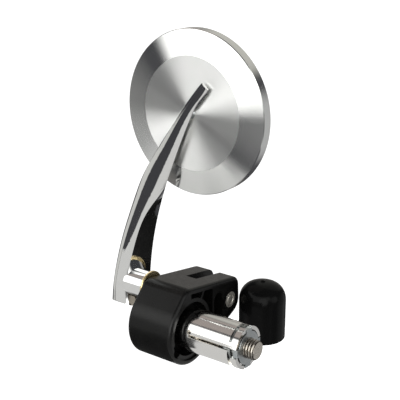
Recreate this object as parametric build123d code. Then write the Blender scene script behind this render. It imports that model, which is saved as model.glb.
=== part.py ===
from build123d import *
import os
from math import asin, cos, degrees, radians, sin, sqrt

# Motorcycle bar end mirror: a thin round mirror on a curved tapered stem, which turns on a
# clamp body that closes over the end of a handlebar and grips it from inside by an expander.
# Frame: the origin is on the bar's axis, at the clamp's inboard face. +X runs inboard along the
# bar, +Z is up, and the glass looks along +Y. All sizes are in millimetres.

# Clearances
RUNNING_GAP = 0.06          # between a shaft and the hole that it turns in
FIXED_GAP = 0.05            # between pieces that are screwed or pressed together
WASHER_GAP = 0.3            # round a washer or a bolt head in its counterbore
BALL_GAP = 0.13             # between the curved faces of the ball joint

# Handlebar, and what goes over and into its end
BAR_OUTER_RADIUS = 11.1
BAR_BORE_RADIUS = 9.0
BAR_RECESS_GAP = 0.15
BAR_RECESS_DEPTH = 7.0
SLEEVE_GAP = 0.25           # between the slack sleeve and the bar's bore

# Clamp body, outlined by four circles (places are across and above the bar's axis)
CLAMP_LENGTH = 22.0
LOBE_RADIUS = 15.2
SHOULDER_Y = -1.6
SHOULDER_Z = 12.4
SHOULDER_RADIUS = 5.4
EAR_Y = 27.1
EAR_Z = 2.5
EAR_RADIUS = 6.6
EAR_TOP_Y = 29.1
EAR_TOP_Z = 8.3
EAR_TOP_RADIUS = 4.3
CLAMP_EDGE_FILLET = 1.5
FACE_RIM_WIDTH = 2.1
FACE_STEP_DEPTH = 0.8
BORE_RING_WIDTH = 1.6       # wall left round the bar's recess beside the pockets
POCKET_DEPTH = 5.5
POCKET_WIDTH = 6.1
POCKET_BOTTOM = -4.0
POCKET_TOP = 9.2
POCKET_WALL = 1.1
NUT_BOSS_WALL = 1.35        # ring of face left round the barrel nut
RIB_ANGLE = 58.0            # of the rib between the two small pockets, from the Y axis
RELIEF_RADIUS = 3.0
RELIEF_ANGLE = 212.0        # round notch in the recess's wall
CLEVIS_SLOT_WIDTH = 5.4
CLEVIS_INNER_EAR = 8.4      # thickness of the ear beside the inboard face
CLEVIS_SLOT_WALL = 2.3      # between the bar's recess and the slot's closed end

# Screw across the clevis slot
CLEVIS_SCREW_Y = 26.7
CLEVIS_SCREW_Z = 3.4
CLEVIS_SCREW_RADIUS = 2.0
CLEVIS_HEAD_RADIUS = 3.5
CLEVIS_HEAD_HEIGHT = 2.8
CLEVIS_KEY_WIDTH = 3.0      # across the flats of its hexagon socket
CLEVIS_HEAD_SINK = 0.3
CLEVIS_TIP_SINK = 0.1       # of the screw's tip below the inboard face
CLEVIS_TIP_CHAMFER = 0.4
BARREL_NUT_RADIUS = 3.45
BARREL_NUT_LENGTH = 7.0
BARREL_NUT_COUNTERSINK = 0.3

# Expander
SLEEVE_LENGTH = 26.6        # from the clamp's inboard face
SPIGOT_RADIUS = 7.8
SPIGOT_DEPTH = 2.5          # of the sleeve's spigot below the recess's floor
SLEEVE_BORE_RADIUS = 5.0
SLEEVE_END_WALL = 1.45
CONE_HALF_ANGLE = 10.5
SLIT_WIDTH = 1.2
SLIT_ANGLE = 168.0
SLIT_START = 4.1
SLIT_STOP_ANGLE = 158.5     # of the round hole beside the slit's closed end
SLIT_STOP_RADIUS = 0.95
FINGER_COUNT = 4
FINGER_SLOT_ANGLE = 177.5
FINGER_SLOT_WIDTH = 3.8
FINGER_LENGTH = 3.9
FINGER_CUT_WIDTH = 1.3
FINGER_BRIDGE = 2.3
KEY_COUNT = 4
KEY_GAP = 0.2
KEY_LENGTH = 1.9
KEY_DROP = 0.7              # of a key's outside below the sleeve's
CONE_PROUD = 0.4            # of the cone nut's face beyond the sleeve's end
CONE_LENGTH = 9.0
CONE_TRAVEL = 1.4           # of the nut before its cone meets the sleeve
CONE_SEAT_GAP = 0.3         # left between the two cones at the end of that travel

# Draw bolt, M8 with a low head
DRAW_BOLT_RADIUS = 4.0
DRAW_BOLT_OUT = 4.2         # of its end beyond the cone nut
DRAW_BOLT_CHAMFER = 0.5
DRAW_HEAD_RADIUS = 6.5
DRAW_HEAD_HEIGHT = 4.7
DRAW_HEAD_SINK = 0.3
DRAW_KEY_WIDTH = 5.0
DRAW_KEY_DEPTH = 2.6
DRAW_WASHER_THICKNESS = 1.6

# Stem pivot, M5
PIVOT_Y = 1.0
PIVOT_Z = 12.6
PIVOT_RADIUS = 2.5
PIVOT_THREAD_DEPTH = 9.5    # of the bolt in the clamp body
PIVOT_HEAD_RADIUS = 4.25
PIVOT_HEAD_HEIGHT = 3.3
PIVOT_HEAD_SINK = 0.15
PIVOT_KEY_WIDTH = 3.0
PIVOT_KEY_DEPTH = 2.0
PIVOT_FLAT_WASHER = 0.9
PIVOT_SPRING_WASHER = 1.0
PIVOT_WASHER_RADIUS = 4.4
FRICTION_WASHER_RADIUS = 6.7
FRICTION_WASHER_THICKNESS = 1.0

# Stem: a blade along an arc that stands upright a little below the pivot, in a plane that
# leans back about the pivot's axis
STEM_LEAN = 3.0             # degrees
BOSS_RADIUS = 6.1
BOSS_LENGTH = 9.6           # from the friction washer to the foot's middle plane
FOOT_RADIUS = 10.1
FOOT_OUTBOARD = 3.8         # from the foot's middle plane to the face that the pivot bolt's head is sunk from
FOOT_CORNER = 1.0           # rounding of the foot's lower outboard corner
FOOT_CORNER_REACH = 6.9     # of that rounding's end from the foot's middle plane
STEM_ARC_RADIUS = 155.0
STEM_ARC_DROP = 12.8        # of the arc's upright point below the pivot
STEM_OVERSHOOT = 14.5       # of the tip beyond the mirror's centre
HEAD_STEM_BACK = 1.42       # from the arc to the stem's back, behind the mirror's centre
STEM_NOSE = 0.18            # bulge of the stem's front, as a share of its chord
STEM_BACK_SET = 0.26        # of the back's outboard corner in from the edge, as a share of the width
STEM_SECTIONS = 14
# Sections, as places in from the arc and behind it: how far outboard and behind the edge is, how
# far inboard and behind the front's crease is, and how far inboard and behind the back's corner is
FOOT_SECTION = (6.1, -5.2, 3.2, -4.6, 3.9, 8.1)
HEAD_SECTION = (3.2, 0.4, 2.1, 0.2, 1.3, HEAD_STEM_BACK)
TIP_SECTION = (2.6, 0.3, 1.4, 0.1, 0.9, 0.85)
# The same at shares of the way from the pivot to the mirror's centre
STEM_STATIONS = [
    (0.0, 5.9, -5.0, 1.0, -4.6, 3.8, 7.2),
    (0.18, 6.5, -2.7, 0.85, -3.2, 3.95, 5.85),
    (0.4, 6.7, -0.1, 2.0, -1.7, 4.4, 3.9),
    (0.58, 6.1, 0.3, 5.2, 0.3, 4.4, 2.6),
    (0.8, 4.05, 0.6, 4.3, 0.3, 3.1, 1.85),
]

# Mirror head
HEAD_Z = 86.5               # height of its centre above the bar's axis
HEAD_GAP = 1.15            # between the stem and the housing's flat back
HOUSING_RADIUS = 32.5
FLAT_RADIUS = 22.5
BEVEL_HEIGHT = 1.74
RIM_HEIGHT = 4.6
RIM_WALL = 1.2
RIM_CHAMFER = 0.25
BACK_WALL = 1.3
CAVITY_RADIUS = 20.0
LEDGE_DEPTH = 2.2           # of the glass's ledge below the rim's front edge
PAD_THICKNESS = 0.5
PAD_MARGIN = 0.6
GLASS_EDGE = 1.4
GLASS_CURVE_RADIUS = 1000.0
GLASS_GAP = 0.2

# Ball joint between the stem and the head
BALL_RADIUS = 2.4
BALL_SET = 2.0              # of the ball's centre inside the housing's flat back
BALL_NECK_RADIUS = 1.5
BALL_NOSE = 0.7             # of the ball's cut front beyond its centre
BALL_KEY_WIDTH = 2.0
BALL_KEY_DEPTH = 1.2
STUD_DEPTH = 1.5            # of the stud in the stem
LINER_WALL = 0.45
LINER_BACK = 1.65           # reach of the liner behind the ball's centre
LINER_FRONT = 0.85          # and in front of it
SOCKET_BOSS_RADIUS = 8.4
RETAINER_THICKNESS = 1.1
RETAINER_MARGIN = 0.2
RETAINER_SCREW_COUNT = 3
RETAINER_SCREW_CIRCLE = 5.8
RETAINER_SCREW_RADIUS = 0.8
RETAINER_HEAD_RADIUS = 1.6
RETAINER_SCREW_LENGTH = 2.3

# Vinyl cap, standing on the surface that the lobe rests on
CAP_X = 8.9
CAP_Y = 37.95
CAP_FIT = 0.25              # between the sleeve and the cap's inside
CAP_WALL = 1.1
CAP_SIDE_HEIGHT = 16.8
CAP_SHOULDER_HEIGHT = 5.3
CAP_SHOULDER_SHARE = 0.845  # of the cap's radius at the top of its shoulder
CAP_HEIGHT = 25.2
CAP_NIPPLE_RADIUS = 1.2
CAP_NIPPLE_HEIGHT = 0.7

# Places that follow from the sizes above
SLEEVE_RADIUS = BAR_BORE_RADIUS - SLEEVE_GAP
RECESS_RADIUS = BAR_OUTER_RADIUS + BAR_RECESS_GAP
CLAMP_BACK = -CLAMP_LENGTH
SPIGOT_END = -BAR_RECESS_DEPTH - SPIGOT_DEPTH
DRAW_SEAT = CLAMP_BACK + DRAW_HEAD_SINK + DRAW_HEAD_HEIGHT + DRAW_WASHER_THICKNESS
CONE_FACE = SLEEVE_LENGTH + CONE_PROUD
BOLT_END = CONE_FACE + DRAW_BOLT_OUT
BOSS_END = CLAMP_BACK - FRICTION_WASHER_THICKNESS
FOOT_MIDDLE = BOSS_END - BOSS_LENGTH
PIVOT_SEAT_DEPTH = PIVOT_HEAD_SINK + PIVOT_HEAD_HEIGHT + PIVOT_SPRING_WASHER + PIVOT_FLAT_WASHER
FOOT_OUTER = FOOT_MIDDLE - FOOT_OUTBOARD
PIVOT_SEAT = FOOT_OUTER + PIVOT_SEAT_DEPTH
ARC_Z = PIVOT_Z - STEM_ARC_DROP
ARC_PIVOT_ANGLE = asin(STEM_ARC_DROP / STEM_ARC_RADIUS)
ARC_X = FOOT_MIDDLE - STEM_ARC_RADIUS * (1 - cos(ARC_PIVOT_ANGLE))
HEAD_RISE = (HEAD_Z - PIVOT_Z) / cos(radians(STEM_LEAN))
HEAD_ANGLE = asin((HEAD_RISE + STEM_ARC_DROP) / STEM_ARC_RADIUS)
FOOT_ANGLE = asin((STEM_ARC_DROP - FOOT_RADIUS - 1) / STEM_ARC_RADIUS)
TIP_ANGLE = HEAD_ANGLE + STEM_OVERSHOOT / STEM_ARC_RADIUS
HEAD_X = ARC_X + STEM_ARC_RADIUS * (1 - cos(HEAD_ANGLE))
STEM_BACK = PIVOT_Y + HEAD_RISE * sin(radians(STEM_LEAN)) + HEAD_STEM_BACK
FLAT_Y = STEM_BACK + HEAD_GAP
RIM_START = FLAT_Y + BEVEL_HEIGHT
RIM_END = RIM_START + RIM_HEIGHT
LEDGE_Y = RIM_END - LEDGE_DEPTH
BALL_Y = FLAT_Y + BALL_SET
LINER_INNER = BALL_RADIUS + BALL_GAP
LINER_OUTER = LINER_INNER + LINER_WALL
SOCKET_RADIUS = LINER_OUTER + BALL_GAP
FLOOR_Z = -LOBE_RADIUS


def along_x(radius, start, end, y=0.0, z=0.0):
    """A round bar parallel to the handlebar, from one X to another."""
    return Plane.YZ.offset(start) * Pos(y, z) * extrude(Circle(radius), end - start)


def ring_x(outer, inner, start, end, y=0.0, z=0.0):
    return along_x(outer, start, end, y, z) - along_x(inner, start, end, y, z)


def hexagon_x(width, start, end, y=0.0, z=0.0):
    """A hexagon prism parallel to the handlebar, given across its flats."""
    sketch = RegularPolygon(width / 2, 6, major_radius=False)
    return Plane.YZ.offset(start) * Pos(y, z) * extrude(sketch, end - start)


def turned_x(points):
    """A body turned about the handlebar's axis from (x, radius) points."""
    return revolve(make_face(Polyline(*[(x, r, 0) for x, r in points], close=True)), Axis.X)


def turned_y(points):
    """A body turned about the mirror's own axis from (radius, y) points."""
    outline = make_face(Polyline(*[(r, y, 0) for r, y in points], close=True))
    return Pos(HEAD_X, 0, HEAD_Z) * revolve(outline, Axis.Y)


def ball_at(radius):
    return Pos(HEAD_X, BALL_Y, HEAD_Z) * Sphere(radius)


def slab_y(radius, start, end):
    """A round disc on the mirror's axis, from one Y to another."""
    return turned_y([(0, start), (radius, start), (radius, end), (0, end)])


def clamp_outline(inset=0.0):
    """The clamp's outline across the bar, drawn in by an inset."""
    circles = [
        Circle(LOBE_RADIUS - inset),
        Pos(SHOULDER_Y, SHOULDER_Z) * Circle(SHOULDER_RADIUS - inset),
        Pos(EAR_Y, EAR_Z) * Circle(EAR_RADIUS - inset),
        Pos(EAR_TOP_Y, EAR_TOP_Z) * Circle(EAR_TOP_RADIUS - inset),
    ]
    return make_hull([edge for circle in circles for edge in circle.edges()])


def cut_in_face(sketch, depth):
    """The block that a sketch on the inboard face takes out of the clamp."""
    return Plane.YZ.offset(-depth) * extrude(sketch, depth)


def clamp_body():
    body = Plane.YZ.offset(CLAMP_BACK) * extrude(clamp_outline(), CLAMP_LENGTH)
    body = fillet(body.edges().filter_by(Plane.YZ), CLAMP_EDGE_FILLET)

    nut_boss = Pos(CLEVIS_SCREW_Y, CLEVIS_SCREW_Z) * Circle(BARREL_NUT_RADIUS + NUT_BOSS_WALL)
    inner = clamp_outline(FACE_RIM_WIDTH)
    body -= cut_in_face(inner - nut_boss, FACE_STEP_DEPTH)

    pocket_y = CLEVIS_SCREW_Y - BARREL_NUT_RADIUS - NUT_BOSS_WALL - POCKET_WIDTH / 2
    pocket_height = POCKET_TOP - POCKET_BOTTOM
    pocket = Pos(pocket_y, (POCKET_TOP + POCKET_BOTTOM) / 2, 0) * Rot(0, 0, 90) * SlotOverall(
        pocket_height, POCKET_WIDTH)
    ring_radius = RECESS_RADIUS + BORE_RING_WIDTH
    right = pocket_y - POCKET_WIDTH / 2 - POCKET_WALL
    window = Pos(right / 2, ring_radius) * Rectangle(right, 2 * ring_radius)
    rib = Rot(0, 0, RIB_ANGLE) * Rectangle(4 * ring_radius, POCKET_WALL)
    webs = (inner & window) - Circle(ring_radius) - rib
    body -= cut_in_face(pocket, POCKET_DEPTH)
    body -= cut_in_face(webs, POCKET_DEPTH)

    relief_y = RECESS_RADIUS * cos(radians(RELIEF_ANGLE))
    relief_z = RECESS_RADIUS * sin(radians(RELIEF_ANGLE))
    body -= along_x(RECESS_RADIUS, -BAR_RECESS_DEPTH, 0)
    body -= along_x(RELIEF_RADIUS, -BAR_RECESS_DEPTH, 0, relief_y, relief_z)
    body -= along_x(SPIGOT_RADIUS + FIXED_GAP, SPIGOT_END, 0)
    body -= along_x(DRAW_BOLT_RADIUS + RUNNING_GAP, CLAMP_BACK, 0)
    body -= along_x(DRAW_HEAD_RADIUS + WASHER_GAP, CLAMP_BACK, DRAW_SEAT)
    thread_end = CLAMP_BACK + PIVOT_THREAD_DEPTH
    body -= along_x(PIVOT_RADIUS + FIXED_GAP, CLAMP_BACK, thread_end, PIVOT_Y, PIVOT_Z)

    slot_start = RECESS_RADIUS + CLEVIS_SLOT_WALL
    reach = EAR_Y + EAR_RADIUS + EAR_TOP_Y
    slot = Box(CLEVIS_SLOT_WIDTH, reach, 4 * LOBE_RADIUS)
    body -= Pos(-CLEVIS_INNER_EAR - CLEVIS_SLOT_WIDTH / 2, slot_start + reach / 2, 0) * slot

    head_seat = CLAMP_BACK + CLEVIS_HEAD_SINK + CLEVIS_HEAD_HEIGHT
    body -= along_x(CLEVIS_SCREW_RADIUS + FIXED_GAP, CLAMP_BACK, 0, CLEVIS_SCREW_Y, CLEVIS_SCREW_Z)
    body -= along_x(CLEVIS_HEAD_RADIUS + WASHER_GAP, CLAMP_BACK, head_seat, CLEVIS_SCREW_Y, CLEVIS_SCREW_Z)
    body -= along_x(BARREL_NUT_RADIUS + FIXED_GAP, -BARREL_NUT_LENGTH, 0, CLEVIS_SCREW_Y, CLEVIS_SCREW_Z)
    return body


def clevis_screw():
    head_start = CLAMP_BACK + CLEVIS_HEAD_SINK
    head_end = head_start + CLEVIS_HEAD_HEIGHT
    screw = turned_x([
        (head_start, 0),
        (head_start, CLEVIS_HEAD_RADIUS),
        (head_end, CLEVIS_HEAD_RADIUS),
        (head_end, CLEVIS_SCREW_RADIUS),
        (-CLEVIS_TIP_SINK - CLEVIS_TIP_CHAMFER, CLEVIS_SCREW_RADIUS),
        (-CLEVIS_TIP_SINK, CLEVIS_SCREW_RADIUS - CLEVIS_TIP_CHAMFER),
        (-CLEVIS_TIP_SINK, 0),
    ])
    screw -= hexagon_x(CLEVIS_KEY_WIDTH, head_start, head_start + CLEVIS_HEAD_HEIGHT / 2)
    return Pos(0, CLEVIS_SCREW_Y, CLEVIS_SCREW_Z) * screw


def clevis_barrel_nut():
    bore = CLEVIS_SCREW_RADIUS + FIXED_GAP
    nut = turned_x([
        (-BARREL_NUT_LENGTH, bore),
        (-BARREL_NUT_LENGTH, BARREL_NUT_RADIUS),
        (0, BARREL_NUT_RADIUS),
        (0, bore + BARREL_NUT_COUNTERSINK),
        (-BARREL_NUT_COUNTERSINK, bore),
    ])
    return Pos(0, CLEVIS_SCREW_Y, CLEVIS_SCREW_Z) * nut


def sleeve_cone_radius(x):
    """Radius of the cone inside the sleeve's free end."""
    end_radius = SLEEVE_RADIUS - SLEEVE_END_WALL
    return end_radius - (SLEEVE_LENGTH - x) * sin(radians(CONE_HALF_ANGLE)) / cos(radians(CONE_HALF_ANGLE))


def finger_slot(angle, width, inner, start, end):
    """A straight radial slot through the sleeve's wall, from one X to another."""
    length = SLEEVE_RADIUS + 1 - inner
    block = Box(end - start, length, width)
    return Rot(angle, 0, 0) * Pos((start + end) / 2, inner + length / 2, 0) * block


def finger_cut(angle):
    """The cut that frees one finger, from its slot round to its bridge."""
    start = SLEEVE_LENGTH - FINGER_LENGTH
    half_slot = degrees(asin(FINGER_SLOT_WIDTH / 2 / SLEEVE_RADIUS))
    bridge = degrees(FINGER_BRIDGE / SLEEVE_RADIUS)
    sweep = 360 / FINGER_COUNT - 2 * half_slot - bridge
    section = Pos(start + FINGER_CUT_WIDTH / 2, SLEEVE_RADIUS / 2 + 0.5) * Rectangle(
        FINGER_CUT_WIDTH, SLEEVE_RADIUS + 1)
    return Rot(angle + half_slot, 0, 0) * revolve(section, Axis.X, sweep)


def expander_sleeve():
    bore_end = SLEEVE_LENGTH - (SLEEVE_RADIUS - SLEEVE_END_WALL - SLEEVE_BORE_RADIUS) / (
        sin(radians(CONE_HALF_ANGLE)) / cos(radians(CONE_HALF_ANGLE)))
    sleeve = turned_x([
        (SPIGOT_END, SLEEVE_BORE_RADIUS),
        (SPIGOT_END, SPIGOT_RADIUS),
        (0, SPIGOT_RADIUS),
        (0, SLEEVE_RADIUS),
        (SLEEVE_LENGTH, SLEEVE_RADIUS),
        (SLEEVE_LENGTH, SLEEVE_RADIUS - SLEEVE_END_WALL),
        (bore_end, SLEEVE_BORE_RADIUS),
    ])
    finger_start = SLEEVE_LENGTH - FINGER_LENGTH
    for number in range(FINGER_COUNT):
        angle = FINGER_SLOT_ANGLE + number * 360 / FINGER_COUNT
        sleeve -= finger_slot(angle, FINGER_SLOT_WIDTH, SLEEVE_BORE_RADIUS, finger_start, SLEEVE_LENGTH + 1)
        sleeve -= finger_cut(angle)
    sleeve -= finger_slot(SLIT_ANGLE, SLIT_WIDTH, 0, SLIT_START, finger_start + FINGER_CUT_WIDTH)
    stop_hole = Cylinder(SLIT_STOP_RADIUS, SLEEVE_RADIUS + 1, align=(Align.CENTER, Align.CENTER, Align.MIN))
    return sleeve - Rot(SLIT_STOP_ANGLE, 0, 0) * Pos(SLIT_START, 0, 0) * Rot(-90, 0, 0) * stop_hole


def cone_nut():
    slope = sin(radians(CONE_HALF_ANGLE)) / cos(radians(CONE_HALF_ANGLE))
    face_radius = sleeve_cone_radius(CONE_FACE - CONE_TRAVEL) - CONE_SEAT_GAP
    nut = turned_x([
        (CONE_FACE - CONE_LENGTH, 0),
        (CONE_FACE - CONE_LENGTH, max(face_radius - CONE_LENGTH * slope, DRAW_BOLT_RADIUS + CONE_SEAT_GAP)),
        (CONE_FACE, face_radius),
        (CONE_FACE, 0),
    ])
    key_reach = SLEEVE_RADIUS - KEY_DROP
    key = Box(KEY_LENGTH, key_reach, FINGER_SLOT_WIDTH - 2 * KEY_GAP)
    for number in range(KEY_COUNT):
        angle = FINGER_SLOT_ANGLE + number * 360 / KEY_COUNT
        nut += Rot(angle, 0, 0) * Pos(CONE_FACE - KEY_LENGTH / 2, key_reach / 2, 0) * key
    return nut - along_x(DRAW_BOLT_RADIUS + RUNNING_GAP, CONE_FACE - CONE_LENGTH - 1, CONE_FACE + 1)


def draw_bolt():
    head_start = CLAMP_BACK + DRAW_HEAD_SINK
    head_end = head_start + DRAW_HEAD_HEIGHT
    bolt = turned_x([
        (head_start, 0),
        (head_start, DRAW_HEAD_RADIUS),
        (head_end, DRAW_HEAD_RADIUS),
        (head_end, DRAW_BOLT_RADIUS),
        (BOLT_END - DRAW_BOLT_CHAMFER, DRAW_BOLT_RADIUS),
        (BOLT_END, DRAW_BOLT_RADIUS - DRAW_BOLT_CHAMFER),
        (BOLT_END, 0),
    ])
    return bolt - hexagon_x(DRAW_KEY_WIDTH, head_start, head_start + DRAW_KEY_DEPTH)


def draw_bolt_washer():
    inner = DRAW_BOLT_RADIUS + WASHER_GAP
    return ring_x(DRAW_HEAD_RADIUS, inner, DRAW_SEAT - DRAW_WASHER_THICKNESS, DRAW_SEAT)


def pivot_bolt():
    head_start = FOOT_OUTER + PIVOT_HEAD_SINK
    head_end = head_start + PIVOT_HEAD_HEIGHT
    bolt = along_x(PIVOT_HEAD_RADIUS, head_start, head_end, PIVOT_Y, PIVOT_Z)
    bolt += along_x(PIVOT_RADIUS, head_end, CLAMP_BACK + PIVOT_THREAD_DEPTH, PIVOT_Y, PIVOT_Z)
    return bolt - hexagon_x(PIVOT_KEY_WIDTH, head_start, head_start + PIVOT_KEY_DEPTH, PIVOT_Y, PIVOT_Z)


def pivot_washer(radius, start, end):
    return ring_x(radius, PIVOT_RADIUS + FIXED_GAP, start, end, PIVOT_Y, PIVOT_Z)


def stem_plane(angle):
    """The plane across the stem at an angle of its arc: local x is inboard, local y is +Y."""
    x = ARC_X + STEM_ARC_RADIUS * (1 - cos(angle))
    z = ARC_Z + STEM_ARC_RADIUS * sin(angle)
    inboard = (cos(angle), 0, -sin(angle))
    return Plane(origin=(x, PIVOT_Y, z), x_dir=inboard, z_dir=(sin(angle), 0, cos(angle)))


def stem_section(outboard, edge, crease, front, inboard, back):
    """A blade with a bulged front, a crease on its inboard side and a flat back."""
    edge_point = Vector(-outboard, edge)
    crease_point = Vector(crease, front)
    chord = crease_point - edge_point
    nose_point = (edge_point + crease_point) * 0.5 + Vector(chord.Y, -chord.X) * STEM_NOSE
    back_point = Vector(inboard, back)
    corner_point = Vector(STEM_BACK_SET * (outboard + inboard) - outboard, back)
    outline = [
        ThreePointArc(edge_point, nose_point, crease_point),
        Line(crease_point, back_point),
        Line(back_point, corner_point),
        Line(corner_point, edge_point),
    ]
    return make_face(Wire(outline))


def smooth_value(places, values, at):
    """The height of a smooth curve at a place, through values at places in rising order."""
    last = len(places) - 1
    slopes = []
    for i in range(last + 1):
        low, high = max(i - 1, 0), min(i + 1, last)
        slopes.append((values[high] - values[low]) / (places[high] - places[low]))
    i = max(k for k in range(last) if k == 0 or places[k] <= at)
    step = places[i + 1] - places[i]
    t = (at - places[i]) / step
    start = values[i] * (1 + 2 * t) * (1 - t) ** 2 + slopes[i] * step * t * (1 - t) ** 2
    return start + values[i + 1] * t * t * (3 - 2 * t) + slopes[i + 1] * step * t * t * (t - 1)


def stem():
    angles = [FOOT_ANGLE]
    stations = [FOOT_SECTION]
    for share, *places in STEM_STATIONS:
        angles.append(ARC_PIVOT_ANGLE + share * (HEAD_ANGLE - ARC_PIVOT_ANGLE))
        stations.append(places)
    angles += [HEAD_ANGLE, TIP_ANGLE]
    stations += [HEAD_SECTION, TIP_SECTION]
    sections = []
    for i in range(STEM_SECTIONS):
        angle = FOOT_ANGLE + (TIP_ANGLE - FOOT_ANGLE) * i / (STEM_SECTIONS - 1)
        places = [smooth_value(angles, values, angle) for values in zip(*stations)]
        sections.append(stem_plane(angle) * stem_section(*places))
    pivot = Pos(0, PIVOT_Y, PIVOT_Z)
    blade = pivot * Rot(-STEM_LEAN, 0, 0) * pivot.inverse() * loft(sections)
    foot_side = 4 * FOOT_RADIUS
    below = Pos(FOOT_MIDDLE, PIVOT_Y, PIVOT_Z - foot_side / 2) * Box(foot_side, foot_side, foot_side)
    foot_end = FOOT_MIDDLE - FOOT_CORNER_REACH
    foot_round = along_x(FOOT_RADIUS, foot_end, FOOT_MIDDLE + foot_side, PIVOT_Y, PIVOT_Z)
    foot_round = fillet(foot_round.edges().group_by(Axis.X)[0], FOOT_CORNER)
    blade -= below - foot_round
    blade += along_x(BOSS_RADIUS, FOOT_MIDDLE, BOSS_END, PIVOT_Y, PIVOT_Z)
    blade -= along_x(PIVOT_RADIUS + RUNNING_GAP, FOOT_OUTER - 1, BOSS_END + 1, PIVOT_Y, PIVOT_Z)
    seat_radius = PIVOT_WASHER_RADIUS + WASHER_GAP
    blade -= along_x(seat_radius, FOOT_MIDDLE - foot_side, PIVOT_SEAT, PIVOT_Y, PIVOT_Z)
    return blade - slab_y(BALL_NECK_RADIUS + FIXED_GAP, STEM_BACK - STUD_DEPTH, FLAT_Y)


def ball_stud():
    front = BALL_Y + BALL_NOSE
    stud = ball_at(BALL_RADIUS) & slab_y(2 * BALL_RADIUS, BALL_Y - BALL_RADIUS, front)
    stud += slab_y(BALL_NECK_RADIUS, STEM_BACK - STUD_DEPTH, BALL_Y)
    key = extrude(RegularPolygon(BALL_KEY_WIDTH / 2, 6, major_radius=False), BALL_KEY_DEPTH)
    return stud - Pos(HEAD_X, front, HEAD_Z) * Rot(90, 0, 0) * key


def ball_liner():
    shell = ball_at(LINER_OUTER) - ball_at(LINER_INNER)
    return shell & slab_y(2 * LINER_OUTER, BALL_Y - LINER_BACK, BALL_Y + LINER_FRONT)


def retainer_screw_places():
    places = []
    for number in range(RETAINER_SCREW_COUNT):
        angle = radians(90 + number * 360 / RETAINER_SCREW_COUNT)
        x = HEAD_X + RETAINER_SCREW_CIRCLE * cos(angle)
        z = HEAD_Z + RETAINER_SCREW_CIRCLE * sin(angle)
        places.append(Pos(x, 0, z))
    return places


def retainer_screw(gap=0.0):
    """One countersunk screw on the Y axis, or, with a gap, the hole that it goes in."""
    top = BALL_Y + RETAINER_THICKNESS
    neck = top - RETAINER_HEAD_RADIUS + RETAINER_SCREW_RADIUS
    points = [
        (0, top - RETAINER_SCREW_LENGTH - gap),
        (RETAINER_SCREW_RADIUS + gap, top - RETAINER_SCREW_LENGTH - gap),
        (RETAINER_SCREW_RADIUS + gap, neck),
        (RETAINER_HEAD_RADIUS + gap, top),
        (0, top),
    ]
    return revolve(make_face(Polyline(*[(r, y, 0) for r, y in points], close=True)), Axis.Y)


def mirror_housing():
    cavity_y = FLAT_Y + BACK_WALL
    rim_inner = HOUSING_RADIUS - RIM_WALL
    bevel_slope = BEVEL_HEIGHT / (HOUSING_RADIUS - FLAT_RADIUS)
    housing = turned_y([
        (0, FLAT_Y),
        (FLAT_RADIUS, FLAT_Y),
        (HOUSING_RADIUS - RIM_CHAMFER, RIM_START - RIM_CHAMFER * bevel_slope),
        (HOUSING_RADIUS, RIM_START + RIM_CHAMFER),
        (HOUSING_RADIUS, RIM_END - RIM_CHAMFER),
        (HOUSING_RADIUS - RIM_CHAMFER, RIM_END),
        (rim_inner, RIM_END),
        (rim_inner, LEDGE_Y),
        (CAVITY_RADIUS, LEDGE_Y),
        (CAVITY_RADIUS, cavity_y),
        (SOCKET_BOSS_RADIUS, cavity_y),
        (SOCKET_BOSS_RADIUS, BALL_Y),
        (0, BALL_Y),
    ])
    housing -= ball_at(SOCKET_RADIUS)
    for place in retainer_screw_places():
        housing -= place * retainer_screw(FIXED_GAP)
    return housing


def ball_retainer():
    ring = slab_y(SOCKET_BOSS_RADIUS - RETAINER_MARGIN, BALL_Y, BALL_Y + RETAINER_THICKNESS)
    ring -= ball_at(SOCKET_RADIUS)
    for place in retainer_screw_places():
        ring -= place * retainer_screw(FIXED_GAP)
    return ring


def retainer_screws():
    return Compound([place * retainer_screw() for place in retainer_screw_places()])


def adhesive_pad():
    outer = HOUSING_RADIUS - RIM_WALL - PAD_MARGIN
    inner = CAVITY_RADIUS + PAD_MARGIN
    front = LEDGE_Y + PAD_THICKNESS
    return slab_y(outer, LEDGE_Y, front) - slab_y(inner, LEDGE_Y, front)


def mirror_glass():
    radius = HOUSING_RADIUS - RIM_WALL - GLASS_GAP
    back = LEDGE_Y + PAD_THICKNESS
    edge = back + GLASS_EDGE
    centre_y = edge - sqrt(GLASS_CURVE_RADIUS**2 - radius**2)
    blank = slab_y(radius, back, edge + GLASS_EDGE)
    return blank & (Pos(HEAD_X, centre_y, HEAD_Z) * Sphere(GLASS_CURVE_RADIUS))


def cap_profile(radius, bottom, top):
    """Half the section of a domed cap: an upright side, a rounded shoulder and a low dome."""
    side_top = FLOOR_Z + CAP_SIDE_HEIGHT
    shoulder_top = side_top + CAP_SHOULDER_HEIGHT * radius / (SLEEVE_RADIUS + CAP_FIT + CAP_WALL)
    shoulder_radius = CAP_SHOULDER_SHARE * radius
    return Wire([
        Line((0, bottom), (radius, bottom)),
        Line((radius, bottom), (radius, side_top)),
        Spline((radius, side_top), (shoulder_radius, shoulder_top), (0, top), tangents=[(0, 1), (-1, 0)]),
        Line((0, top), (0, bottom)),
    ])


def vinyl_cap():
    inner = SLEEVE_RADIUS + CAP_FIT
    outer = inner + CAP_WALL
    top = FLOOR_Z + CAP_HEIGHT
    cap = revolve(Plane.XZ * make_face(cap_profile(outer, FLOOR_Z, top)), Axis.Z)
    nipple = Pos(0, 0, top - CAP_NIPPLE_RADIUS + CAP_NIPPLE_HEIGHT) * Sphere(CAP_NIPPLE_RADIUS)
    cap += nipple
    cap -= revolve(Plane.XZ * make_face(cap_profile(inner, FLOOR_Z - CAP_WALL, top - CAP_WALL)), Axis.Z)
    return Pos(CAP_X, CAP_Y, 0) * cap


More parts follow.
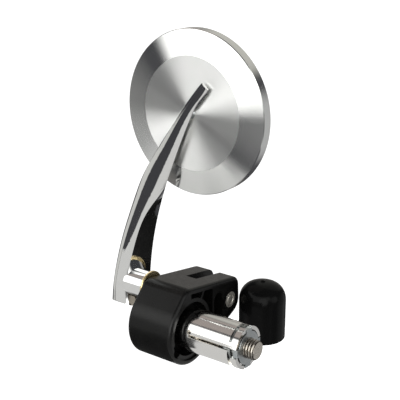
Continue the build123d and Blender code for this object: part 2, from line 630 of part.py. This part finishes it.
spring_start = FOOT_OUTER + PIVOT_HEAD_SINK + PIVOT_HEAD_HEIGHT
flat_start = spring_start + PIVOT_SPRING_WASHER
PARTS = {
    "clamp_body": clamp_body(),
    "clevis_screw": clevis_screw(),
    "clevis_barrel_nut": clevis_barrel_nut(),
    "expander_sleeve": expander_sleeve(),
    "cone_nut": cone_nut(),
    "draw_bolt": draw_bolt(),
    "draw_bolt_washer": draw_bolt_washer(),
    "pivot_bolt": pivot_bolt(),
    "pivot_spring_washer": pivot_washer(PIVOT_WASHER_RADIUS, spring_start, flat_start),
    "pivot_flat_washer": pivot_washer(PIVOT_WASHER_RADIUS, flat_start, PIVOT_SEAT),
    "pivot_friction_washer": pivot_washer(FRICTION_WASHER_RADIUS, BOSS_END, CLAMP_BACK),
    "stem": stem(),
    "ball_stud": ball_stud(),
    "ball_liner": ball_liner(),
    "mirror_housing": mirror_housing(),
    "ball_retainer": ball_retainer(),
    "retainer_screws": retainer_screws(),
    "adhesive_pad": adhesive_pad(),
    "mirror_glass": mirror_glass(),
    "vinyl_cap": vinyl_cap(),
}

os.makedirs("parts", exist_ok=True)
for name, shape in PARTS.items():
    export_step(shape, f"parts/{name}.step")
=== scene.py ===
import math

import bpy
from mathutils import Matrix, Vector


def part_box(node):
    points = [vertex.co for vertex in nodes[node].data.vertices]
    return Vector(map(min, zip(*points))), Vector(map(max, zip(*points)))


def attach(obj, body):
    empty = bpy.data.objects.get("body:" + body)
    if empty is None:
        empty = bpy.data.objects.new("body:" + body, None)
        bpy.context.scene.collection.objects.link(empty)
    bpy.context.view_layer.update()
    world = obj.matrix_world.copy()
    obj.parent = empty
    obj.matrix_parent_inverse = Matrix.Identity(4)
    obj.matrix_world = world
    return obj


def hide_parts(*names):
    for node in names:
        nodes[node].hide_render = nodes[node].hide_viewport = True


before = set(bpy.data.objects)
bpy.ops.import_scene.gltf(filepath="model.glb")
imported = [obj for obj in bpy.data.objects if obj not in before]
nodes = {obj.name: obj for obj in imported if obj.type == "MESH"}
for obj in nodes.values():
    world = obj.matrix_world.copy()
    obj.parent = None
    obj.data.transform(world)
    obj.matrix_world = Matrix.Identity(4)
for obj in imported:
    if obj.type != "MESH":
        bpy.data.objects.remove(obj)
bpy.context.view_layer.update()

MM = 0.001

# Camera, as fitted to the photograph
CAMERA_PLACE = (0.19754, -0.26307, 0.16348)
CAMERA_AZIMUTH = 36.41
CAMERA_ELEVATION = 18.25
CAMERA_LENS = 81.0
SENSOR_WIDTH = 36.0
NEAREST_SEEN = 0.01

# Places that follow from the frame
CAP_LOW, CAP_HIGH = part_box("vinyl_cap")
CLAMP_LOW, CLAMP_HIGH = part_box("clamp_body")
HEAD_LOW, HEAD_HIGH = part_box("mirror_housing")
BOLT_LOW, BOLT_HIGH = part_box("draw_bolt")
THREAD_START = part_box("cone_nut")[0].x
FLOOR_Z = CAP_LOW.z
HEAD_CENTRE = (HEAD_LOW + HEAD_HIGH) / 2

# Back of the mirror: a turned flat, and a bevel round it that is turned finer
FLAT_EDGE = 22.5 * MM
FLAT_EDGE_BLEND = 0.1 * MM
BEVEL_ROUGHNESS = 0.42       # as a share of the flat's

# Draw bolt: an M8 thread with a low socket head
THREAD_PITCH = 1.25 * MM
THREAD_DEPTH = 0.62 * MM
THREAD_STEPS = 10            # rings in one pitch
THREAD_SLOPE = 1.6           # of a flank; above 1, crests and roots are flattened
THREAD_ROOT = 0.25           # how far the flanks would run on below the root, as a share of the depth
BOLT_RADIUS = 4.0 * MM
BOLT_END_CHAMFER = 0.55 * MM
BOLT_HEAD_HEIGHT = 4.7 * MM
BOLT_HEAD_EDGE = 0.4 * MM    # rounding of the head's outer edge
BOLT_KEY_RADIUS = 2.5 * MM   # to the flats of its hexagon
BOLT_KEY_DEPTH = 2.6 * MM
BOLT_KEY_CHAMFER = 0.15 * MM
BOLT_ROUND = 72              # points round the bolt
BOLT_SHARP_ANGLE = 40.0      # edges sharper than this, in degrees, aren't shaded smooth

# Painted shade in the thread's roots: full below one depth, gone above another, and none on the bolt's end
# face
ROOT_SHADE_COLOUR = (0.07, 0.055, 0.04)
SHADE_FULL_DEPTH = 0.9 * THREAD_DEPTH
SHADE_GONE_DEPTH = 0.3 * THREAD_DEPTH
SHADE_FADE_START = 0.08 * MM          # from the bolt's end to where the painted shade starts to fade
UNSHADED_END = 0.03 * MM        # from the bolt's end to where it is gone

# Softened edges
EDGE_WIDTHS = {
    "cone_nut": 0.12 * MM,
    "clevis_barrel_nut": 0.1 * MM,
    "pivot_friction_washer": 0.15 * MM,
}
EDGE_STEPS = 2
EDGE_ANGLE = 35.0            # edges sharper than this, in degrees, are softened
JOIN_DISTANCE = 0.0005 * MM  # within which the solid's faces are joined

# Patterns of the materials
NOISE_LOW, NOISE_HIGH = 0.3, 0.7   # most of a noise lies between these
TURNED_CLOUD = 9 * MM              # size of the clouds in a turned metal's colour
PLATED_CLOUD = 3 * MM
COAT_GLOSS_GRAINS = 5              # size of the patches in a coat's gloss, in grains
COAT_CLOUD_GRAINS = 12

# Sockets of a Mix node for colours
MIX_SHARE, MIX_FIRST, MIX_SECOND, MIX_RESULT = 0, 6, 7, 2


def new_material(name, colour, metallic, roughness, **sockets):
    """A Principled material with constant sockets; returns its tree and shader too."""
    material = bpy.data.materials.new(name)
    material.use_nodes = True
    tree = material.node_tree
    shader = tree.nodes["Principled BSDF"]
    shader.inputs["Base Color"].default_value = (*colour, 1.0)
    shader.inputs["Metallic"].default_value = metallic
    shader.inputs["Roughness"].default_value = roughness
    for socket, value in sockets.items():
        shader.inputs[socket.replace("_", " ")].default_value = value
    return material, tree, shader


def matt_glow(name, colour, glow):
    """A material that glows, with no gloss."""
    return new_material(name, colour, metallic=0.0, roughness=0.9, Specular_IOR_Level=0.0,
                        Emission_Color=(*glow, 1.0), Emission_Strength=1.0)[0]


def object_place(tree, scale=(1, 1, 1), offset=(0, 0, 0)):
    """The place on the part, in metres, scaled along each axis and then moved."""
    coordinates = tree.nodes.new("ShaderNodeTexCoord")
    mapping = tree.nodes.new("ShaderNodeMapping")
    mapping.inputs["Scale"].default_value = scale
    mapping.inputs["Location"].default_value = offset
    tree.links.new(coordinates.outputs["Object"], mapping.inputs["Vector"])
    return mapping.outputs["Vector"]


def noise(tree, size, detail):
    """Noise with features about one size across, in metres."""
    texture = tree.nodes.new("ShaderNodeTexNoise")
    texture.inputs["Scale"].default_value = 1.0
    texture.inputs["Detail"].default_value = detail
    tree.links.new(object_place(tree, (1 / size, 1 / size, 1 / size)), texture.inputs["Vector"])
    return texture.outputs["Fac"]


def spread(tree, value, low, high, start=NOISE_LOW, end=NOISE_HIGH):
    """Maps a value that runs from start to end onto the range from low to high."""
    node = tree.nodes.new("ShaderNodeMapRange")
    node.inputs["From Min"].default_value = start
    node.inputs["From Max"].default_value = end
    node.inputs["To Min"].default_value = low
    node.inputs["To Max"].default_value = high
    tree.links.new(value, node.inputs["Value"])
    return node.outputs["Result"]


def mix_colours(tree, share, first, second):
    """Blends two colours by a share of 0 to 1; each is a fixed colour or another node's output."""
    node = tree.nodes.new("ShaderNodeMix")
    node.data_type = "RGBA"
    tree.links.new(share, node.inputs[MIX_SHARE])
    for socket, colour in ((MIX_FIRST, first), (MIX_SECOND, second)):
        if isinstance(colour, tuple):
            node.inputs[socket].default_value = (*colour, 1.0)
        else:
            tree.links.new(colour, node.inputs[socket])
    return node.outputs[MIX_RESULT]


def combine(tree, operation, first, second):
    """One number from two, such as their product."""
    node = tree.nodes.new("ShaderNodeMath")
    node.operation = operation
    tree.links.new(first, node.inputs[0])
    tree.links.new(second, node.inputs[1])
    return node.outputs["Value"]


def length_of(tree, place):
    """The length of a vector."""
    node = tree.nodes.new("ShaderNodeVectorMath")
    node.operation = "LENGTH"
    tree.links.new(place, node.inputs[0])
    return node.outputs["Value"]


def radius_about_head(tree):
    """Distance from the mirror's own axis, in metres."""
    return length_of(tree, object_place(tree, (1, 0, 1), (-HEAD_CENTRE.x, 0, -HEAD_CENTRE.z)))


def radius_about_bar(tree):
    """Distance from the bar's axis, in metres."""
    return length_of(tree, object_place(tree, (0, 1, 1)))


def along_bar(tree):
    """Distance along the bar's axis, in metres."""
    split = tree.nodes.new("ShaderNodeSeparateXYZ")
    tree.links.new(object_place(tree), split.inputs["Vector"])
    return split.outputs["X"]


def lay_finish(tree, shader, colours, rough, clouds, gloss, relief, depth):
    """Gives a shader an uneven colour, gloss and surface, from a pattern of 0 to 1 for each."""
    share = spread(tree, clouds, 0.0, 1.0)
    tree.links.new(mix_colours(tree, share, *colours), shader.inputs["Base Color"])
    tree.links.new(spread(tree, gloss, *rough), shader.inputs["Roughness"])
    bump = tree.nodes.new("ShaderNodeBump")
    bump.inputs["Strength"].default_value = 1.0
    bump.inputs["Distance"].default_value = depth
    tree.links.new(relief, bump.inputs["Height"])
    tree.links.new(bump.outputs["Normal"], shader.inputs["Normal"])


def turned_metal(name, colours, rough, about, mark, depth, **sockets):
    """Metal with a lathe's fine marks, of one width; about gives the distance that they follow."""
    material, tree, shader = new_material(name, colours[0], 1.0, rough[0], **sockets)
    line = tree.nodes.new("ShaderNodeTexNoise")
    line.noise_dimensions = "1D"
    line.inputs["Scale"].default_value = 1 / mark
    line.inputs["Detail"].default_value = 2.0
    tree.links.new(about(tree), line.inputs["W"])
    marks = line.outputs["Fac"]
    clouds = noise(tree, TURNED_CLOUD, detail=4.0)
    lay_finish(tree, shader, colours, rough, clouds, marks, marks, depth)
    return material, tree, shader


def plated_metal(name, colours, rough, grain, depth):
    """Plated metal: fine grain in its gloss, and a little cloud in its colour."""
    material, tree, shader = new_material(name, colours[0], 1.0, rough[0])
    clouds = noise(tree, PLATED_CLOUD, detail=3.0)
    gloss = noise(tree, grain, detail=4.0)
    relief = noise(tree, grain / 2, detail=2.0)
    lay_finish(tree, shader, colours, rough, clouds, gloss, relief, depth)
    return material


def coated(name, colours, rough, grain, depth, **sockets):
    """Paint or plastic: an orange-peel grain, uneven gloss and a slightly uneven colour."""
    material, tree, shader = new_material(name, colours[0], 0.0, rough[0], **sockets)
    clouds = noise(tree, COAT_CLOUD_GRAINS * grain, detail=4.0)
    gloss = noise(tree, COAT_GLOSS_GRAINS * grain, detail=4.0)
    relief = noise(tree, grain, detail=3.0)
    lay_finish(tree, shader, colours, rough, clouds, gloss, relief, depth)
    return material


# Materials: each has two colours that it drifts between, and a least and greatest roughness
chrome = plated_metal("chrome", colours=((0.86, 0.86, 0.85), (0.88, 0.88, 0.87)),
                      rough=(0.035, 0.06), grain=1.5 * MM, depth=0.0004 * MM)
zinc = plated_metal("zinc_plate", colours=((0.42, 0.45, 0.46), (0.50, 0.52, 0.52)),
                    rough=(0.26, 0.4), grain=0.5 * MM, depth=0.01 * MM)
nickel = plated_metal("nickel_plate", colours=((0.55, 0.51, 0.45), (0.62, 0.58, 0.52)),
                      rough=(0.2, 0.34), grain=0.4 * MM, depth=0.006 * MM)
satin = plated_metal("satin_steel", colours=((0.60, 0.57, 0.52), (0.68, 0.66, 0.60)),
                     rough=(0.48, 0.6), grain=0.4 * MM, depth=0.006 * MM)
yellow = plated_metal("yellow_plate", colours=((0.78, 0.64, 0.34), (0.84, 0.68, 0.40)),
                      rough=(0.18, 0.3), grain=0.5 * MM, depth=0.004 * MM)
black_steel = plated_metal("black_steel", colours=((0.045, 0.045, 0.05), (0.06, 0.06, 0.065)),
                           rough=(0.32, 0.45), grain=0.4 * MM, depth=0.004 * MM)
glass = plated_metal("mirror", colours=((0.93, 0.94, 0.95), (0.94, 0.95, 0.955)),
                     rough=(0.01, 0.025), grain=4 * MM, depth=0.0001 * MM)
black = coated("black_coat", colours=((0.003, 0.003, 0.003), (0.0045, 0.0045, 0.0042)),
               rough=(0.27, 0.34), grain=0.45 * MM, depth=0.006 * MM, Specular_IOR_Level=0.22)
vinyl = coated("black_vinyl", colours=((0.0025, 0.0025, 0.0025), (0.004, 0.004, 0.004)),
               rough=(0.13, 0.22), grain=1.2 * MM, depth=0.01 * MM, Specular_IOR_Level=0.06)
foam = coated("foam", colours=((0.02, 0.02, 0.02), (0.035, 0.035, 0.035)),
              rough=(0.8, 0.95), grain=0.4 * MM, depth=0.08 * MM)
nylon = coated("nylon", colours=((0.72, 0.71, 0.66), (0.76, 0.75, 0.71)),
               rough=(0.42, 0.55), grain=0.5 * MM, depth=0.01 * MM)
bright = turned_metal("bright_steel", colours=((0.84, 0.83, 0.81), (0.87, 0.86, 0.84)),
                      rough=(0.09, 0.15), about=along_bar, mark=0.3 * MM, depth=0.002 * MM)[0]
turned, turned_tree, turned_shader = turned_metal(
    "turned_aluminium", colours=((0.85, 0.86, 0.84), (0.88, 0.88, 0.87)),
    rough=(0.33, 0.39), about=radius_about_head, mark=0.35 * MM, depth=0.0008 * MM,
    Anisotropic=1.0, Anisotropic_Rotation=0.25)

# The bevel round the mirror's back is smoother than its flat, and both shine along the lathe's marks
turned_roughness = turned_shader.inputs["Roughness"]
bevel_share = spread(turned_tree, radius_about_head(turned_tree), 1.0, BEVEL_ROUGHNESS,
                     FLAT_EDGE - FLAT_EDGE_BLEND, FLAT_EDGE + FLAT_EDGE_BLEND)
flat_and_bevel = combine(turned_tree, "MULTIPLY", turned_roughness.links[0].from_socket, bevel_share)
turned_tree.links.new(flat_and_bevel, turned_roughness)
tangent = turned_tree.nodes.new("ShaderNodeTangent")
tangent.direction_type = "RADIAL"
tangent.axis = "Y"
turned_tree.links.new(tangent.outputs["Tangent"], turned_shader.inputs["Tangent"])

# The draw bolt's thread roots get painted shade
nickel_tree = nickel.node_tree
nickel_colour = nickel_tree.nodes["Principled BSDF"].inputs["Base Color"]
crests = spread(nickel_tree, radius_about_bar(nickel_tree), 0.0, 1.0,
                BOLT_RADIUS - SHADE_FULL_DEPTH, BOLT_RADIUS - SHADE_GONE_DEPTH)
bolt_end = spread(nickel_tree, along_bar(nickel_tree), 0.0, 1.0,
                  BOLT_HIGH.x - SHADE_FADE_START, BOLT_HIGH.x - UNSHADED_END)
# Painted shade: the colour darkens towards the thread's roots, while the crests and the end face keep the
# plating's colour
unshaded = combine(nickel_tree, "MAXIMUM", crests, bolt_end)
root_shaded = mix_colours(nickel_tree, unshaded, ROOT_SHADE_COLOUR, nickel_colour.links[0].from_socket)
nickel_tree.links.new(root_shaded, nickel_colour)

DRESS = [
    (chrome, ["stem"]),
    (turned, ["mirror_housing"]),
    (black, ["clamp_body"]),
    (bright, ["expander_sleeve"]),
    (satin, ["clevis_barrel_nut", "clevis_screw"]),
    (zinc, ["cone_nut", "draw_bolt_washer", "pivot_spring_washer", "pivot_flat_washer", "ball_stud",
            "ball_retainer", "retainer_screws"]),
    (black_steel, ["pivot_bolt"]),
    (yellow, ["pivot_friction_washer"]),
    (vinyl, ["vinyl_cap"]),
    (glass, ["mirror_glass"]),
    (foam, ["adhesive_pad"]),
    (nylon, ["ball_liner"]),
]
for material, names in DRESS:
    for name in names:
        nodes[name].data.materials.clear()
        nodes[name].data.materials.append(material)


def soften_edges(node, width):
    """Joins the solid's faces and rounds its sharp edges a little."""
    weld = nodes[node].modifiers.new("join_faces", "WELD")
    weld.merge_threshold = JOIN_DISTANCE
    bevel = nodes[node].modifiers.new("soft_edges", "BEVEL")
    bevel.width = width
    bevel.segments = EDGE_STEPS
    bevel.limit_method = "ANGLE"
    bevel.angle_limit = math.radians(EDGE_ANGLE)
    bevel.harden_normals = True


for node, width in EDGE_WIDTHS.items():
    soften_edges(node, width)


def new_piece(name, points, faces, material):
    """A mesh object of one material, in the scene."""
    mesh = bpy.data.meshes.new(name)
    mesh.from_pydata(points, [], faces)
    mesh.validate()
    mesh.materials.append(material)
    piece = bpy.data.objects.new(name, mesh)
    bpy.context.collection.objects.link(piece)
    return piece


def skin(name, rings, material):
    """A closed mesh through rings of equally many points, with a fan at each end."""
    count = len(rings[0])
    points = [point for ring in rings for point in ring]
    faces = []
    for step in range(len(rings) - 1):
        low = step * count
        for number in range(count):
            after = (number + 1) % count
            faces.append((low + number, low + after, low + count + after, low + count + number))
    for ring, start in ((rings[0], 0), (rings[-1], len(points) - count)):
        middle = sum((Vector(point) for point in ring), Vector()) / count
        centre = len(points)
        points.append(tuple(middle))
        for number in range(count):
            pair = (start + number, start + (number + 1) % count)
            faces.append((*pair[::-1], centre) if start == 0 else (*pair, centre))
    return new_piece(name, points, faces, material)


def ring_at(x, radius_of):
    """Points round the bar's axis at one X; radius_of gives the radius at each angle."""
    ring = []
    for number in range(BOLT_ROUND):
        angle = 2 * math.pi * number / BOLT_ROUND
        radius = radius_of(angle)
        ring.append((x, radius * math.cos(angle), radius * math.sin(angle)))
    return ring


def hexagon_radius(flat):
    """Radius of a hexagon at each angle, from the distance to its flats."""
    def radius_of(angle):
        return flat / math.cos((angle % (math.pi / 3)) - math.pi / 6)
    return radius_of


def even(radius):
    """The same radius at each angle."""
    return lambda angle: radius


def thread_radius(x, limit):
    """Radius of a V thread with flattened crests and roots, never above a limit."""
    def radius_of(angle):
        turn = (x / THREAD_PITCH - angle / (2 * math.pi)) % 1.0
        crest = min(1.0, max(0.0, THREAD_SLOPE * abs(2 * turn - 1) - THREAD_ROOT))
        return min(limit, BOLT_RADIUS - THREAD_DEPTH * (1 - crest))
    return radius_of


def draw_bolt():
    """The draw bolt, from the floor of its key socket round its head to the end of its thread."""
    head = BOLT_LOW.x
    head_radius = BOLT_HIGH.y
    head_end = head + BOLT_HEAD_HEIGHT
    edge = BOLT_HEAD_EDGE
    rings = [
        ring_at(head + BOLT_KEY_DEPTH, hexagon_radius(BOLT_KEY_RADIUS)),
        ring_at(head + BOLT_KEY_CHAMFER, hexagon_radius(BOLT_KEY_RADIUS)),
        ring_at(head, hexagon_radius(BOLT_KEY_RADIUS + BOLT_KEY_CHAMFER)),
        ring_at(head, even(head_radius - edge)),
        ring_at(head + edge / 3, even(head_radius - edge / 3)),
        ring_at(head + edge, even(head_radius)),
        ring_at(head_end - edge / 2, even(head_radius)),
        ring_at(head_end, even(head_radius - edge / 2)),
        ring_at(head_end, even(BOLT_RADIUS)),
        ring_at(THREAD_START - THREAD_PITCH, even(BOLT_RADIUS)),
    ]
    thread_length = BOLT_HIGH.x - THREAD_START
    steps = round(thread_length / THREAD_PITCH * THREAD_STEPS)
    for step in range(steps + 1):
        x = THREAD_START + thread_length * step / steps
        limit = BOLT_RADIUS - max(0.0, x - (BOLT_HIGH.x - BOLT_END_CHAMFER))
        rings.append(ring_at(x, thread_radius(x, limit)))
    return skin("draw_bolt_threaded", rings, nickel)


bolt = draw_bolt()
for polygon in bolt.data.polygons:
    polygon.use_smooth = True
bolt.data.set_sharp_from_angle(angle=math.radians(BOLT_SHARP_ANGLE))
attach(bolt, "draw_bolt")
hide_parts("draw_bolt")


def staged_sheet(name, corners, material):
    """A flat sheet for the studio, in the scene."""
    piece = new_piece(name, corners, [tuple(range(len(corners)))], material)
    return piece


# Floor, out of reflections: what stands in for it there is laid out below
FLOOR_MARGIN = 2 * MM    # round the clamp and the cap: small, so that the folded head shows below the floor
FLOOR_SETBACK = 9 * MM   # the clamp's outboard end overhangs the floor, so the folded stem shows too
FLOOR_COLOUR = (0.95, 0.95, 0.95)
FLOOR_GLOW = (1, 1, 1)
FLOOR_LOW = Vector((CLAMP_LOW.x + FLOOR_SETBACK, CLAMP_LOW.y - FLOOR_MARGIN))
FLOOR_HIGH = Vector((max(CLAMP_HIGH.x, CAP_HIGH.x) + FLOOR_MARGIN, CAP_HIGH.y + FLOOR_MARGIN))
floor_sides = [(FLOOR_LOW.x, FLOOR_LOW.y), (FLOOR_HIGH.x, FLOOR_LOW.y),
               (FLOOR_HIGH.x, FLOOR_HIGH.y), (FLOOR_LOW.x, FLOOR_HIGH.y)]
floor = staged_sheet("floor", [(x, y, FLOOR_Z) for x, y in floor_sides],
                     matt_glow("floor", FLOOR_COLOUR, FLOOR_GLOW))
floor.visible_glossy = False

# Cards that show only in reflections. Those on the table have corners in mm across and ahead, as
# the camera sees them, and a small lift off the floor
PALE_GREY = (0.63, 0.63, 0.62)
NO_COLOUR = (0, 0, 0)
TABLE_CARDS = [
    ("sheet", [(-187, -75), (22, -75), (22, 12), (-187, 30)], 0.02 * MM, PALE_GREY),
    # The shade card is a painted shadow: the clamp's shadow on the table, as a dark card seen only in
    # reflections
    ("shade", [(-75, -28), (-48, -30), (-8, -10), (-10, 8), (-35, 8), (-75, -8)], 0.04 * MM,
     (0.06, 0.06, 0.06)),
    ("far_sheet", [(-187, -75), (-125, -75), (-125, 30), (-187, 30)], 0.04 * MM, (1.0, 1.0, 0.98)),
]
SCREEN_LEFT = (-0.099, -0.04)    # feet of a standing card
SCREEN_RIGHT = (-0.014, -0.077)
SCREEN_TOP = 0.02
CAMERA_RIGHT = Vector((math.cos(math.radians(CAMERA_AZIMUTH)), math.sin(math.radians(CAMERA_AZIMUTH))))
CAMERA_AHEAD = Vector((-CAMERA_RIGHT.y, CAMERA_RIGHT.x))


def reflected_card(name, corners, colour):
    """A card that shows only in reflections."""
    card = staged_sheet(name, corners, matt_glow(name, NO_COLOUR, colour))
    card.visible_camera = False
    card.visible_diffuse = False
    card.visible_transmission = False
    card.visible_shadow = False


for name, places, lift, colour in TABLE_CARDS:
    corners = []
    for across, ahead in places:
        place = CAMERA_RIGHT * across * MM + CAMERA_AHEAD * ahead * MM
        corners.append((place.x, place.y, FLOOR_Z + lift))
    reflected_card(name, corners, colour)
reflected_card("screen", [(*SCREEN_LEFT, FLOOR_Z), (*SCREEN_RIGHT, FLOOR_Z),
                          (*SCREEN_RIGHT, SCREEN_TOP), (*SCREEN_LEFT, SCREEN_TOP)], PALE_GREY)

# Studio: even white light, and the room that shows in the bright pieces
world = bpy.data.worlds.new("studio")
bpy.context.scene.world = world
world.use_nodes = True
bpy.context.scene.view_settings.view_transform = "Standard"
room = world.node_tree
room_direction = room.nodes.new("ShaderNodeTexCoord").outputs["Generated"]


def towards(axis):
    """How far a direction goes along an axis, from -1 to 1."""
    node = room.nodes.new("ShaderNodeVectorMath")
    node.operation = "DOT_PRODUCT"
    node.inputs[1].default_value = Vector(axis).normalized()
    room.links.new(room_direction, node.inputs[0])
    return node.outputs["Value"]


def ramp(value, start, end):
    """Rises smoothly from 0 at start to 1 at end; falls where end is below start."""
    node = room.nodes.new("ShaderNodeMapRange")
    node.interpolation_type = "SMOOTHSTEP"
    node.inputs["From Min"].default_value = min(start, end)
    node.inputs["From Max"].default_value = max(start, end)
    node.inputs["To Min"].default_value = 0.0 if start < end else 1.0
    node.inputs["To Max"].default_value = 1.0 if start < end else 0.0
    room.links.new(value, node.inputs["Value"])
    return node.outputs["Result"]


def all_of(*shares):
    """The product of several shares of 0 to 1."""
    total = shares[0]
    for share in shares[1:]:
        total = combine(room, "MULTIPLY", total, share)
    return total


# The room is dark. In front of the mirror's back are a white wall above one slanting line, a pale
# table below another, and a pale panel to the right. Each ramp runs from its first number to its second
DARK_ROOM = (0.05, 0.05, 0.055)
WALL_COLOUR = (2.1, 2.1, 2.07)
TABLE_COLOUR = (0.78, 0.78, 0.77)
WALL_AXIS = (0.316, -0.255, 0.914)        # square to the wall's lower line
TABLE_AXIS = (0.087, -0.495, 0.8645)      # square to the table's far line
height = towards((0, 0, 1))
sideways = towards((1, 0, 0))
front = ramp(towards((0, -1, 0)), 0.05, 0.35)
wall = all_of(front, ramp(towards(WALL_AXIS), 0.0, 0.03), ramp(height, 0.72, 0.62))
table = all_of(front, ramp(towards(TABLE_AXIS), 0.0, -0.06),
               ramp(sideways, -0.98, -0.65), ramp(sideways, -0.1, -0.3))
panel = all_of(front, ramp(sideways, -0.17, -0.1), ramp(height, 0.1, -0.05), ramp(height, -0.66, -0.58))
colours = mix_colours(room, table, DARK_ROOM, TABLE_COLOUR)
colours = mix_colours(room, wall, colours, WALL_COLOUR)
colours = mix_colours(room, panel, colours, PALE_GREY)

# Round places in the room, each over those before it: its direction, the ramp of its edge, its
# colour, and the ramp by height that cuts some of them off above
ROUND_PLACES = [
    ((0.8, -0.55, -0.1), (0.84, 0.95), (0.12, 0.12, 0.12), None),            # dark, right of the camera
    ((0.575, -0.791, 0.208), (0.91, 0.95), (3.6, 3.6, 3.55), None),          # main light, by the camera
    ((-0.98, -0.15, -0.08), (0.935, 0.96), (0.6, 0.6, 0.58), (0.12, 0.04)),  # pale, on the left
    ((-0.6, 0.8, 0.1), (0.75, 0.95), (0.5, 0.48, 0.45), (0.42, 0.12)),       # pale, low behind on the left
    ((0.56, 0.76, -0.31), (0.8, 0.95), (0.45, 0.45, 0.45), None),            # pale, low behind on the right
    ((-0.1, 0.78, 0.6), (0.83, 0.92), (0.55, 0.54, 0.5), None),              # pale, high behind
    ((0.97, 0.1, 0.25), (0.945, 0.975), (1.6, 1.6, 1.58), None),             # window on the right
    ((-0.52, 0.05, 0.85), (0.87, 0.92), (0.36, 0.32, 0.3), None),            # brown ceiling
]
for axis, edge, colour, top in ROUND_PLACES:
    share = ramp(towards(axis), *edge)
    if top is not None:
        share = all_of(share, ramp(height, *top))
    colours = mix_colours(room, share, colours, colour)

BACKGROUND_STRENGTH = 1.2    # a little above white, so that the background stays clean to its corners
shown = room.nodes["Background"]
shown.inputs["Color"].default_value = (1, 1, 1, 1)
shown.inputs["Strength"].default_value = BACKGROUND_STRENGTH
reflected = room.nodes.new("ShaderNodeBackground")
room.links.new(colours, reflected.inputs["Color"])
either = room.nodes.new("ShaderNodeMixShader")
rays = room.nodes.new("ShaderNodeLightPath")
room.links.new(rays.outputs["Is Glossy Ray"], either.inputs["Fac"])
room.links.new(shown.outputs["Background"], either.inputs[1])
room.links.new(reflected.outputs["Background"], either.inputs[2])
room.links.new(either.outputs["Shader"], room.nodes["World Output"].inputs["Surface"])

camera = bpy.data.objects.new("camera", bpy.data.cameras.new("camera"))
bpy.context.collection.objects.link(camera)
camera.location = CAMERA_PLACE
camera.rotation_euler = (math.radians(90 - CAMERA_ELEVATION), 0, math.radians(CAMERA_AZIMUTH))
camera.data.lens = CAMERA_LENS
camera.data.sensor_width = SENSOR_WIDTH
camera.data.clip_start = NEAREST_SEEN
bpy.context.scene.camera = camera
